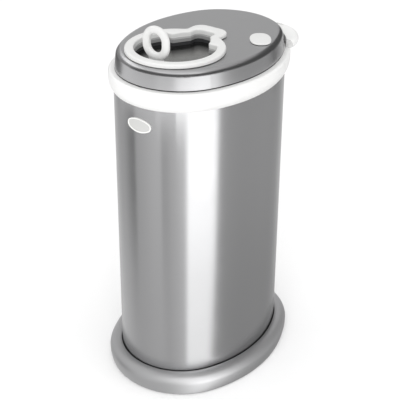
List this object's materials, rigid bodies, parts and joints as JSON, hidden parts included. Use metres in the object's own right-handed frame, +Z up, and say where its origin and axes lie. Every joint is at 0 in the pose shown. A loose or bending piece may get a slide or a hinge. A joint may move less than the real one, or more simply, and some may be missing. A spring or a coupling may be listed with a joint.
{
  "type": "nappy bin",
  "caption": "Oval brushed-steel nappy bin with a flared foot, a white collar, and a rear-hinged lid with a sliding round door, a ring handle and a child lock.",
  "frame": {"origin": "on the floor under the middle of the oval body", "axes": "+Z up; +Y along the oval's length towards the rear hinge, with the badge at the front (-Y); +X to the side of the lid that has the lock button"},
  "size_m": [0.275, 0.3518, 0.6152],
  "materials": {
    "body_steel": "satin, brushed up and down",
    "lid_steel": "satin",
    "door_steel": "satin",
    "badge_metal": "bright satin",
    "spring_steel": "plain",
    "fasteners": "zinc plated",
    "white_plastic": "smooth moulded",
    "inner_plastic": "fine matt moulded",
    "slide_plastic": "waxy moulded",
    "dark_plastic": "matt moulded",
    "seal_rubber": "matt",
    "rubber": "matt"
  },
  "bodies": {
    "bin": {"outer_shell": "body_steel", "base_skirt": "body_steel", "floor_pan": "dark_plastic", "rubber_feet": "rubber", "base_screws": "fasteners", "rim_collar": "white_plastic", "rim_liner": "inner_plastic", "rim_screws": "fasteners", "bag_ring": "inner_plastic", "bag_clips": "spring_steel", "lid_gasket": "seal_rubber", "badge_plate": "white_plastic", "badge_bezel": "badge_metal", "badge_pins": "fasteners", "hinge_pin": "fasteners", "hinge_caps": "white_plastic"},
    "lid": {"lid_cover": "lid_steel", "lid_pan": "inner_plastic", "opening_frame": "white_plastic", "opening_seal": "seal_rubber", "frame_screws": "fasteners", "door_seal": "seal_rubber", "door_rails": "slide_plastic", "rail_screws": "fasteners", "under_tray": "inner_plastic", "tray_screws": "fasteners", "hinge_bushes": "slide_plastic", "lock_detent": "spring_steel"},
    "door": {"door_disc": "door_steel", "door_carrier": "inner_plastic", "door_glides": "slide_plastic", "door_handle": "white_plastic", "handle_screws": "fasteners"},
    "lock": {"lock_button": "white_plastic", "lock_bolt": "slide_plastic", "lock_screw": "fasteners"}
  },
  "joints": [
    {"name": "lid_hinge", "type": "hinge", "parent": "bin", "child": "lid", "pos_m": [0, 0.1633, 0.5415], "axis": [-1, 0, 0], "range_deg": [0, 95]},
    {"name": "door_slide", "type": "slide", "parent": "lid", "child": "door", "axis": [0, 1, 0], "range_m": [0, 0.104]},
    {"name": "lock_slide", "type": "slide", "parent": "lid", "child": "lock", "axis": [-0.6157, 0.788, 0], "range_m": [0, 0.008]}
  ]
}
